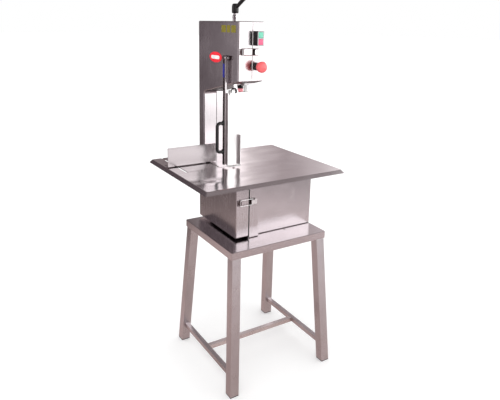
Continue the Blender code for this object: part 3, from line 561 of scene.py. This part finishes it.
# ------------------------------------------------------------------ controls
def build_controls():
    low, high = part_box("switch_box")
    face = block((high.x - 0.0004, low.y + 0.0012, low.z + 0.0012),
                 (high.x + 0.0012, high.y - 0.0012, high.z - 0.0012), 0.0006)
    frames = []
    for node, look in (("start_button", "green"), ("stop_button", "stop_red")):
        b_low, b_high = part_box(node)
        cap = block((b_low.x, b_low.y, b_low.z), b_high, 0.0012)
        piece(node + "_cap", cap, look, node.split("_")[0], [node])
        frames.append((b_low, b_high))
    panel = piece("switch_panel", face, "panel", "frame")
    for index, (b_low, b_high) in enumerate(frames):
        cutter_bm = block((low.x, b_low.y - 0.0003, b_low.z - 0.0003),
                          (high.x + 0.01, b_high.y + 0.0003, b_high.z + 0.0003))
        mesh = bpy.data.meshes.new("cutter")
        cutter_bm.to_mesh(mesh)
        cutter_bm.free()
        cutter = bpy.data.objects.new("cutter", mesh)
        bpy.context.scene.collection.objects.link(cutter)
        modifier = panel.modifiers.new(f"window_{index}", "BOOLEAN")
        modifier.object = cutter
        modifier.operation = "DIFFERENCE"
        bpy.context.view_layer.objects.active = panel
        bpy.ops.object.modifier_apply(modifier=modifier.name)
        bpy.data.objects.remove(cutter)


def build_emergency_stop():
    low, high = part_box("estop_button")
    c_low, c_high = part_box("estop_base")
    axis = (0, middle("estop_button").y, middle("estop_button").z)
    stem = 0.0085
    top = high.x
    cap = [(stem, low.x), (stem, c_high.x + 0.0060)]
    cap += [(0.0170, c_high.x + 0.0064), (0.0184, c_high.x + 0.0072)]
    cap += [(0.0192, c_high.x + 0.0105)]
    shoulder = arc((top - 0.0125, 0.0092), 0.0108, 90, 12, 7)
    cap += [(radius, level) for level, radius in shoulder]
    cap += [(0.0060, top - 0.0006), (0.0010, top)]
    piece("mushroom", lathe(cap, "X", axis, 56), "mushroom_red", "emergency_stop",
          ["estop_button"])

    def knurl(radius, level, angle):
        ribbed = c_low.x + 0.004 < level < c_high.x - 0.0030
        return radius - (0.0004 if ribbed and math.cos(24 * angle) < 0 else 0.0)

    collar = [(0.0120, c_low.x), (0.0145, c_low.x), (0.0145, c_low.x + 0.0038),
              (0.0140, c_low.x + 0.0042), (0.0140, c_high.x - 0.0032),
              (0.0138, c_high.x - 0.0028), (0.0125, c_high.x), (0.0092, c_high.x)]
    piece("stop_collar", lathe(collar, "X", axis, 96, knurl), "black", "frame",
          ["estop_base"])


# ------------------------------------------------------------- badge, labels
def build_badge():
    """Red oval on the cover with a plain white bar and no lettering."""
    low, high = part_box("upper_cover")
    from_left, from_top = 0.1418, 0.1306
    centre = Vector((low.x + from_left, low.y, high.z - from_top))
    half_x, half_z, thick = 0.0470, 0.0195, 0.0016
    rings = []
    for inset, depth in ((0.0, 0.0), (0.0, 0.0010), (0.0006, 0.0014), (0.0020, thick),
                         (0.0200, thick)):
        rings.append([centre + Vector((max(0.002, half_x - inset) * math.cos(a), -depth,
                                       max(0.0005, half_z - inset * 0.9) * math.sin(a)))
                      for a in (2 * math.pi * k / 64 for k in range(64))])
    piece("badge", loft(rings), "badge_red", "cover")
    bar_x, bar_z = half_x * 0.68, half_z * 0.34
    outline = arc((bar_x - bar_z, 0.0), bar_z, -90, 90, 10)
    outline += arc((bar_z - bar_x, 0.0), bar_z, 90, 270, 10)
    rings = [[centre + Vector((x, -depth, z)) for x, z in outline]
             for depth in (thick - 0.0002, thick + 0.0003)]
    piece("badge_bar", loft(rings), "white", "cover")


def build_labels():
    """Three blank yellow patches at the top of the cover."""
    low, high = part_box("upper_cover")
    z = (high.z - 0.0391, high.z - 0.0141)
    spans = ((-0.1213, -0.0893), (-0.0813, -0.0583), (-0.0503, -0.0193))
    for index, (start, end) in enumerate(spans):
        patch = block((high.x + start, low.y - 0.0005, z[0]),
                      (high.x + end, low.y + 0.0001, z[1]), 0.0002, 1)
        piece(f"patch_{index + 1}", patch, "yellow", "cover")


# -------------------------------------------------------------------- pusher
def build_pusher_grip():
    """Moulded D-grip with two flat feet."""
    low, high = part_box("pusher_handle")
    x = (low.x + high.x) / 2
    radius = (high.x - low.x) / 2
    face = high.y
    grip_y = low.y + radius
    z0, z1 = low.z + radius, high.z - radius
    bend = 0.012
    path = [(face, z0)]
    path += [(face - 0.004, z0), (grip_y + bend + 0.001, z0)]
    path += [(y, z) for y, z in arc((grip_y + bend, z0 + bend), bend, 270, 180, 8)]
    path += [(grip_y, z0 + bend + (z1 - z0 - 2 * bend) * k / 10) for k in range(1, 10)]
    path += [(y, z) for y, z in arc((grip_y + bend, z1 - bend), bend, 180, 90, 8)]
    path += [(grip_y + bend + 0.001, z1), (face - 0.004, z1), (face, z1)]
    grip = tube([(x, y, z) for y, z in path], radius * 0.985, 28)
    feet = []
    for z in (z0, z1):
        feet.append(block((x - 0.0085, face - 0.0034, z - 0.0100),
                          (x + 0.0085, face, z + 0.0085), 0.0012))
    grip_obj = merged([grip] + feet)
    piece("grip", grip_obj, "grip_black", "pusher", ["pusher_handle"])


def build_pusher_arm():
    """Arm with rounded edges and a front painted dark as a painted reflection, on a sleeve round
    the pin.
    """
    low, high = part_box("pusher_arm")
    centre_x = (low.x + high.x) / 2
    pivot_y, pivot_z = low.y + 0.0074, high.z - 0.0074
    left, right = centre_x - 0.0100, centre_x + 0.0066
    front, back = pivot_y - 0.0070, pivot_y
    top = pivot_z - 0.0060
    bar = block((left, front, low.z), (right, back, top))
    edges = [e for e in bar.edges if abs(e.verts[0].co.z - e.verts[1].co.z) > 0.01
             and min(v.co.y for v in e.verts) < front + 0.001]
    bmesh.ops.bevel(bar, geom=edges, offset=0.0030, segments=6, profile=0.5, affect="EDGES")
    sleeve = lathe([(0.0034, low.x), (0.0070, low.x), (0.0074, low.x + 0.0006),
                    (0.0074, high.x - 0.0006), (0.0070, high.x), (0.0034, high.x)],
                   "X", (0, pivot_y, pivot_z), 40)
    arm = piece("arm", merged([bar, sleeve]), "band_steel", "pusher",
                ["pusher_arm"])
    arm.data.materials.append(MATERIALS["dark_reflection_steel"])
    # the forward face below the sleeve is painted near black: painted dark reflection
    for polygon in arm.data.polygons:
        if polygon.normal.y < -0.85 and polygon.center.z < top:
            polygon.material_index = 1
    strip_low, strip_high = high.z - 0.0774, high.z - 0.0289
    strip = block((left + 0.0012, front - 0.0004, strip_low),
                  (right - 0.0030, front + 0.0001, strip_high), 0.0001, 1)
    piece("strip", strip, "blue", "pusher")


def build_pusher_bracket():
    """Clevis with rounded ears and a chrome pin with two collars."""
    low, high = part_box("pusher_bracket")
    ear, plate = 0.0045, 0.0007
    pivot_y, pivot_z = low.y + 0.0050, high.z - 0.0080
    back = high.y
    ears = []
    for start in (low.x, high.x - ear):
        outline = arc((pivot_y, pivot_z), 0.0052, 100, 260, 14)
        outline += [(back, pivot_z - 0.0075), (back, pivot_z + 0.0075)]
        ears.append(loft([[(x, y, z) for y, z in outline] for x in (start, start + ear)]))
    plate_part = block((low.x, back - plate, low.z), (high.x, back, high.z), 0.0003, 1)
    # the clevis is painted near black: painted dark reflection
    piece("clevis", merged(ears + [plate_part]), "dark_reflection_steel", "cover",
          ["pusher_bracket"])
    pin = [(0.0020, low.x - 0.0016), (0.0042, low.x - 0.0012), (0.0042, low.x),
           (0.0032, low.x + 0.0001), (0.0032, high.x), (0.0042, high.x + 0.0001),
           (0.0042, high.x + 0.0012), (0.0020, high.x + 0.0016)]
    piece("clevis_pin", lathe(pin, "X", (0, pivot_y, pivot_z), 32), "chrome", "cover")


# ------------------------------------------------------------- tension lever
def build_tension_lever():
    """Clamp lever: ribbed hub, rounded crown and a swelling arm."""
    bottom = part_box("tension_handle")[0].z
    screw = middle("tension_screw")
    centre = (screw.x, screw.y, 0)

    def ribs(radius, level, angle):
        ribbed = bottom + 0.005 < level < bottom + 0.024 and radius > 0.011
        return radius - (0.0009 if ribbed and math.cos(8 * angle) < -0.1 else 0.0)

    hub = [(0.0065, bottom), (0.0105, bottom), (0.0120, bottom + 0.0016),
           (0.0130, bottom + 0.0045), (0.0130, bottom + 0.0230), (0.0126, bottom + 0.0270),
           (0.0114, bottom + 0.0315), (0.0090, bottom + 0.0340), (0.0060, bottom + 0.0352),
           (0.0010, bottom + 0.0354)]
    start = Vector((screw.x, screw.y, bottom + 0.0169))
    direction = Vector((0.0590, 0.0100, 0.0420)).normalized()
    side = direction.cross(Vector((0, 0, 1))).normalized()
    stations = ((0.0, 0.0065), (0.014, 0.0068), (0.030, 0.0070), (0.046, 0.0073),
                (0.058, 0.0078), (0.068, 0.0083), (0.074, 0.0078), (0.078, 0.0062),
                (0.0805, 0.0038), (0.0812, 0.0012))
    arm = tube([start + direction * reach for reach, _ in stations],
               [radius for _, radius in stations], 32, side)
    piece("tension_lever", merged([lathe(hub, "Z", centre, 96, ribs), arm]), "grip_black",
          "tension", ["tension_handle"])


def build_tension_bush():
    """Hexagonal chrome bush with a round collar and a threaded neck."""
    low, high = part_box("tension_bush")
    screw = middle("tension_screw")

    def hexagon(radius, level, angle):
        if not low.z + 0.0105 < level < low.z + 0.0215:
            return radius
        turn = (angle + 0.35) % (math.pi / 3) - math.pi / 6
        return min(radius, 0.0097 / math.cos(turn))

    profile = [(0.0062, low.z), (0.0100, low.z), (0.0100, low.z + 0.0012),
               (0.0092, low.z + 0.0020), (0.0094, low.z + 0.0104), (0.0110, low.z + 0.0125),
               (0.0110, low.z + 0.0200), (0.0092, low.z + 0.0216), (0.0079, low.z + 0.0225)]
    level = low.z + 0.0235
    while level < high.z - 0.0012:
        profile += [(0.0079, level), (0.0068, level + 0.0006)]
        level += 0.0012
    profile += [(0.0079, high.z - 0.0002), (0.0062, high.z)]
    piece("bush", lathe(profile, "Z", (screw.x, screw.y, 0), 72, hexagon), "chrome",
          "frame", ["tension_bush"])


# --------------------------------------------------------------------- guide
def build_guide_knob():
    """Lobed clamp knob: black upper part and red cap below."""
    low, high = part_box("guide_knob")
    centre = (middle("guide_knob").x, middle("guide_knob").y, 0)
    base = low.z

    def lobes(radius, level, angle):
        return radius * (1 - 0.03 * (1 - math.cos(12 * angle))) if radius > 0.009 else radius

    body = [(0.0090, base + 0.0166), (0.0107, base + 0.0170), (0.0110, base + 0.0182),
            (0.0110, base + 0.0235), (0.0098, base + 0.0252), (0.0040, base + 0.0255),
            (0.0040, high.z)]
    piece("clamp_knob", lathe(body, "Z", centre, 96, lobes), "black", "guide_clamp",
          ["guide_knob"])
    cap = [(0.0015, base), (0.0070, base + 0.0002), (0.0094, base + 0.0014),
           (0.0103, base + 0.0036), (0.0104, base + 0.0161), (0.0098, base + 0.0165)]
    piece("clamp_cap", lathe(cap, "Z", centre, 56), "cap_red", "guide_clamp")


def build_guide_hood():
    """Smooth arched hood over the band, thinner towards the operator."""
    low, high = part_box("guide_hood")
    outer, inner = 0.0138, 0.0078
    centre_y, centre_z = middle("guide_hood").y, high.z - outer
    half = (high.x - low.x) / 2 - 0.0001
    mid_r, bar = (outer + inner) / 2, (outer - inner) / 2
    steps = 40
    rings = []
    for index, (y, z) in enumerate(arc((0, 0), 1.0, -40, 205, steps)):
        taper = 1.0 - 0.7 * max(0.0, 2 * index / steps - 1.0)
        ring = []
        for k in range(20):
            a = 2 * math.pi * k / 20
            across = math.copysign(abs(math.cos(a)) ** 0.6, math.cos(a))
            along = math.copysign(abs(math.sin(a)) ** 0.6, math.sin(a))
            r = mid_r + bar * taper * along
            ring.append(((low.x + high.x) / 2 + half * across, centre_y + r * y,
                         centre_z + r * z))
        rings.append(ring)
    piece("hood", loft(rings), "matt_black", "guide", ["guide_hood"])


# --------------------------------------------------------------------- seams
def build_seam_strips():
    """Thin sealing strips on the frame, where covers and door close on it."""
    proud, sunk, margin = 0.0005, 0.0004, 0.005
    head_face = 0.2050             # height of the head's right face
    strips = {}
    for node, width in (("head_body", 0.0036), ("base_body", 0.0042), ("column_body", 0.0016)):
        low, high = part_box(node)
        bottom = high.z - head_face if node == "head_body" else low.z
        strips[node] = block((high.x - sunk, low.y + 0.0002, bottom + margin),
                             (high.x + proud, low.y + 0.0002 + width, high.z - margin),
                             0.0002, 1)
    piece("head_seam", strips["head_body"], "seam_grey", "frame")
    piece("seam_strips", merged([strips["base_body"], strips["column_body"]]), "rubber",
          "frame")


# ------------------------------------------------------------------ fasteners
def screw_head(point, axis, radius=0.003, height=0.0016):
    """Low dome head with a hexagon socket."""
    u, v, w = AXES[axis[-1]]
    w = -w if axis[0] == "-" else w
    origin = Vector(point)
    rings = []
    for share, level in ((1.0, 0.0), (1.0, 0.35), (0.93, 0.70), (0.75, 0.93), (0.55, 1.0)):
        rings.append([origin + u * (radius * share * math.cos(a)) + v * (radius * share *
                      math.sin(a)) + w * (height * level)
                      for a in (2 * math.pi * k / 24 for k in range(24))])
    for level in (1.0, 0.35):
        ring = []
        for k in range(24):
            a = 2 * math.pi * k / 24
            hexagon = math.cos(math.pi / 6) / math.cos((a % (math.pi / 3)) - math.pi / 6)
            r = radius * 0.46 * hexagon
            ring.append(origin + u * (r * math.cos(a)) + v * (r * math.sin(a))
                        + w * (height * level))
        rings.append(ring)
    return loft(rings)


def build_fasteners():
    frame_heads, cover_heads, door_heads = [], [], []
    m_low, m_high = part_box("motor_box")
    for x in (m_low.x + 0.016, m_high.x - 0.016):
        for z in (m_low.z + 0.016, m_high.z - 0.016):
            frame_heads.append(screw_head((x, m_high.y, z), "+Y", 0.0045, 0.0024))
    frame_heads.append(screw_head((m_high.x, m_low.y + 0.137, m_low.z + 0.0042), "+X",
                                  0.0028, 0.0018))
    b_low, b_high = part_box("head_body")
    for x in (b_low.x + 0.020, (b_low.x + b_high.x) / 2, b_high.x - 0.020):
        frame_heads.append(screw_head((x, b_high.y, b_high.z - 0.018), "+Y", 0.0040, 0.0022))
    for name, heads in (("latch_upper", cover_heads), ("latch_lower", door_heads)):
        k_low, k_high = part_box(name + "_keeper")
        l_low, l_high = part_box(name + "_base")
        for z in (l_low.z + 0.0038, l_high.z - 0.0038):
            frame_heads.append(screw_head((l_low.x + 0.0016, l_high.y - 0.0042, z), "+X",
                                          0.0017, 0.0009))
        for z in (k_low.z + 0.0035, k_high.z - 0.0035):
            heads.append(screw_head((k_low.x + 0.0016, k_low.y + 0.0022, z), "+X",
                                    0.0014, 0.0008))
    for name in ("hinge_low", "hinge_high"):
        f_low, f_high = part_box(name + "_fixed")
        d_low, d_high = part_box(name + "_leaf")
        leaf_x = f_high.x - 0.0020
        for y in (f_high.y - 0.006, f_high.y - 0.020):
            frame_heads.append(screw_head((leaf_x, y, f_low.z + 0.009), "-X", 0.0024, 0.0012))
        for y in (d_low.y + 0.006, d_low.y + 0.020):
            door_heads.append(screw_head((leaf_x, y, d_high.z - 0.009), "-X", 0.0024, 0.0012))
    piece("frame_screws", merged(frame_heads), "hardware_steel", "frame")
    piece("cover_screws", merged(cover_heads), "hardware_steel", "cover")
    piece("door_screws", merged(door_heads), "hardware_steel", "door")


def weld_ring(corners, radius, bead=0.0022):
    """Welded fillet round a tube: a closed wavy bead along a polygon."""
    points = []
    count = len(corners)
    for i in range(count):
        start, end = Vector(corners[i]), Vector(corners[(i + 1) % count])
        steps = max(2, round((end - start).length / bead))
        points += [start.lerp(end, k / steps) for k in range(steps)]
    rings = []
    total = len(points)
    for i, point in enumerate(points):
        tangent = (points[(i + 1) % total] - points[i - 1]).normalized()
        normal = tangent.orthogonal().normalized()
        third = tangent.cross(normal)
        r = radius * (1.0 + 0.16 * math.cos(math.pi * i))
        rings.append([point + normal * (r * math.cos(a)) + third * (r * math.sin(a))
                      for a in (2 * math.pi * k / 8 for k in range(8))])
    return loft(rings, closed=True)


def build_welds():
    """Weld beads where legs meet the tray."""
    beads = []
    for side in ("front_left", "front_right", "back_left", "back_right"):
        node = NODES["leg_" + side]
        top = max(v.co.z for v in node.data.vertices)
        upper = [v.co for v in node.data.vertices if v.co.z > top - 0.001]
        x = (min(p.x for p in upper), max(p.x for p in upper))
        y = (min(p.y for p in upper), max(p.y for p in upper))
        corners = [(x[0], y[0], top - 0.001), (x[1], y[0], top - 0.001),
                   (x[1], y[1], top - 0.001), (x[0], y[1], top - 0.001)]
        beads.append(weld_ring(corners, 0.0013))
    piece("leg_welds", merged(beads), "hardware_steel", "frame")


# ------------------------------------------------------------- light, camera
def plain_emission(name):
    """A material that only shines, and its emission node."""
    material = bpy.data.materials.new(name)
    material.use_nodes = True
    nodes = material.node_tree.nodes
    nodes.clear()
    output = nodes.new("ShaderNodeOutputMaterial")
    light = nodes.new("ShaderNodeEmission")
    light.inputs["Strength"].default_value = 1.0
    material.node_tree.links.new(light.outputs["Emission"], output.inputs["Surface"])
    return material, light


def colour_ramp(tree, value, stops):
    """A colour ramp over a direction cosine from -1 to 1."""
    span = tree.nodes.new("ShaderNodeMapRange")
    span.inputs["From Min"].default_value = -1.0
    tree.links.new(value, span.inputs["Value"])
    ramp = tree.nodes.new("ShaderNodeValToRGB")
    elements = ramp.color_ramp.elements
    while len(elements) < len(stops):
        elements.new(0.5)
    for element, (cosine, color) in zip(elements, stops):
        element.position = (cosine + 1) / 2
        element.color = (*color, 1.0)
    tree.links.new(span.outputs["Result"], ramp.inputs["Fac"])
    return ramp.outputs["Color"]


def blend(tree, value, limits, first, second):
    """Smooth change from the first to the second colour as the value rises."""
    span = tree.nodes.new("ShaderNodeMapRange")
    span.interpolation_type = "SMOOTHSTEP"
    span.inputs["From Min"].default_value, span.inputs["From Max"].default_value = limits
    tree.links.new(value, span.inputs["Value"])
    mix = tree.nodes.new("ShaderNodeMix")
    mix.data_type = "RGBA"
    tree.links.new(span.outputs["Result"], mix.inputs["Factor"])
    tree.links.new(first, mix.inputs["A"])
    tree.links.new(second, mix.inputs["B"])
    return mix.outputs["Result"]


def build_dome():
    """Surround seen only in reflections: bright behind, mostly dark in front."""
    bm = bmesh.new()
    bmesh.ops.create_icosphere(bm, subdivisions=5, radius=DOME_RADIUS)
    bmesh.ops.reverse_faces(bm, faces=bm.faces)
    mesh = bpy.data.meshes.new("surround")
    bm.to_mesh(mesh)
    bm.free()
    dome = bpy.data.objects.new("surround", mesh)
    bpy.context.scene.collection.objects.link(dome)
    dome.location = (0, 0, DOME_HEIGHT)
    material, light = plain_emission("surround")
    tree = material.node_tree
    coords = tree.nodes.new("ShaderNodeTexCoord")
    direction = tree.nodes.new("ShaderNodeVectorMath")
    direction.operation = "NORMALIZE"
    tree.links.new(coords.outputs["Object"], direction.inputs[0])
    towards = tree.nodes.new("ShaderNodeVectorMath")
    towards.operation = "DOT_PRODUCT"
    towards.inputs[1].default_value = STUDIO_AXIS
    tree.links.new(direction.outputs["Vector"], towards.inputs[0])
    parts = tree.nodes.new("ShaderNodeSeparateXYZ")
    tree.links.new(direction.outputs["Vector"], parts.inputs["Vector"])
    cosine, height = towards.outputs["Value"], parts.outputs["Z"]
    wall = colour_ramp(tree, cosine, WALL)
    skirting = colour_ramp(tree, cosine, SKIRTING)
    ground = blend(tree, cosine, GROUND_SPAN, colour_ramp(tree, height, GROUND_DARK),
                   colour_ramp(tree, height, GROUND_PALE))
    ceiling = colour_ramp(tree, cosine, CEILING)
    colour = blend(tree, height, SKIRTING_SPAN, skirting, wall)
    colour = blend(tree, height, HORIZON_SPAN, ground, colour)
    colour = blend(tree, height, CEILING_SPAN, colour, ceiling)
    tree.links.new(colour, light.inputs["Color"])
    material.cycles.emission_sampling = "NONE"
    mesh.materials.append(material)
    dome.visible_camera = False
    dome.visible_diffuse = False
    dome.visible_shadow = False
    dome.visible_transmission = False


def build_floor():
    """Pale floor with a faint glow, left out of the steel's reflections."""
    bm = bmesh.new()
    bmesh.ops.create_grid(bm, x_segments=1, y_segments=1, size=FLOOR_HALF)
    mesh = bpy.data.meshes.new("floor")
    bm.to_mesh(mesh)
    bm.free()
    floor = bpy.data.objects.new("floor", mesh)
    bpy.context.scene.collection.objects.link(floor)
    floor.location = (0, 0, CAD_BOX[0][2])
    shader = Shader("floor", FLOOR_TINT, FLOOR_ROUGH, 0.0)
    shader.set("Specular IOR Level", FLOOR_SPECULAR)
    shader.set("Emission Color", (1.0, 1.0, 1.0, 1.0))
    shader.set("Emission Strength", FLOOR_GLOW)
    mesh.materials.append(shader.material)
    floor.visible_glossy = False


def build_light():
    """White sky and a weak, soft sun that the steel doesn't reflect."""
    world = bpy.data.worlds.new("studio")
    world.use_nodes = True
    background = world.node_tree.nodes["Background"]
    background.inputs["Color"].default_value = (1.0, 1.0, 1.0, 1.0)
    background.inputs["Strength"].default_value = SKY_STRENGTH
    bpy.context.scene.world = world
    sun = bpy.data.lights.new("overhead", "SUN")
    sun.energy = SUN_ENERGY
    sun.angle = SUN_SPREAD
    overhead = bpy.data.objects.new("overhead", sun)
    overhead.rotation_euler = SUN_TILT
    overhead.visible_glossy = False
    bpy.context.scene.collection.objects.link(overhead)


def build_camera():
    """The viewpoint: in front and to the right, a little above the table."""
    yaw, pitch, roll = CAMERA_YAW, CAMERA_PITCH, CAMERA_ROLL
    forward = Vector((math.sin(yaw) * math.cos(pitch), math.cos(yaw) * math.cos(pitch),
                      -math.sin(pitch)))
    level = Vector((math.cos(yaw), -math.sin(yaw), 0))
    upright = level.cross(forward)
    right = level * math.cos(roll) + upright * math.sin(roll)
    up = upright * math.cos(roll) - level * math.sin(roll)
    lens = bpy.data.cameras.new("camera")
    lens.sensor_width = SENSOR_WIDTH
    lens.lens = LENS_LENGTH
    lens.shift_x, lens.shift_y = LENS_SHIFT
    lens.clip_end = VIEW_DEPTH
    camera = bpy.data.objects.new("camera", lens)
    bpy.context.scene.collection.objects.link(camera)
    turn = Matrix((right, up, -forward)).transposed().to_4x4()
    camera.matrix_world = Matrix.Translation(CAMERA_PLACE) @ turn
    bpy.context.scene.camera = camera


# ---------------------------------------------------------------------- main
dress_nodes()
build_band()
build_controls()
build_emergency_stop()
build_badge()
build_labels()
build_pusher_grip()
build_pusher_arm()
build_pusher_bracket()
build_tension_lever()
build_tension_bush()
build_guide_knob()
build_guide_hood()
build_seam_strips()
build_fasteners()
build_welds()
build_dome()
build_floor()
build_light()
build_camera()
bpy.context.scene.view_settings.view_transform = "Standard"
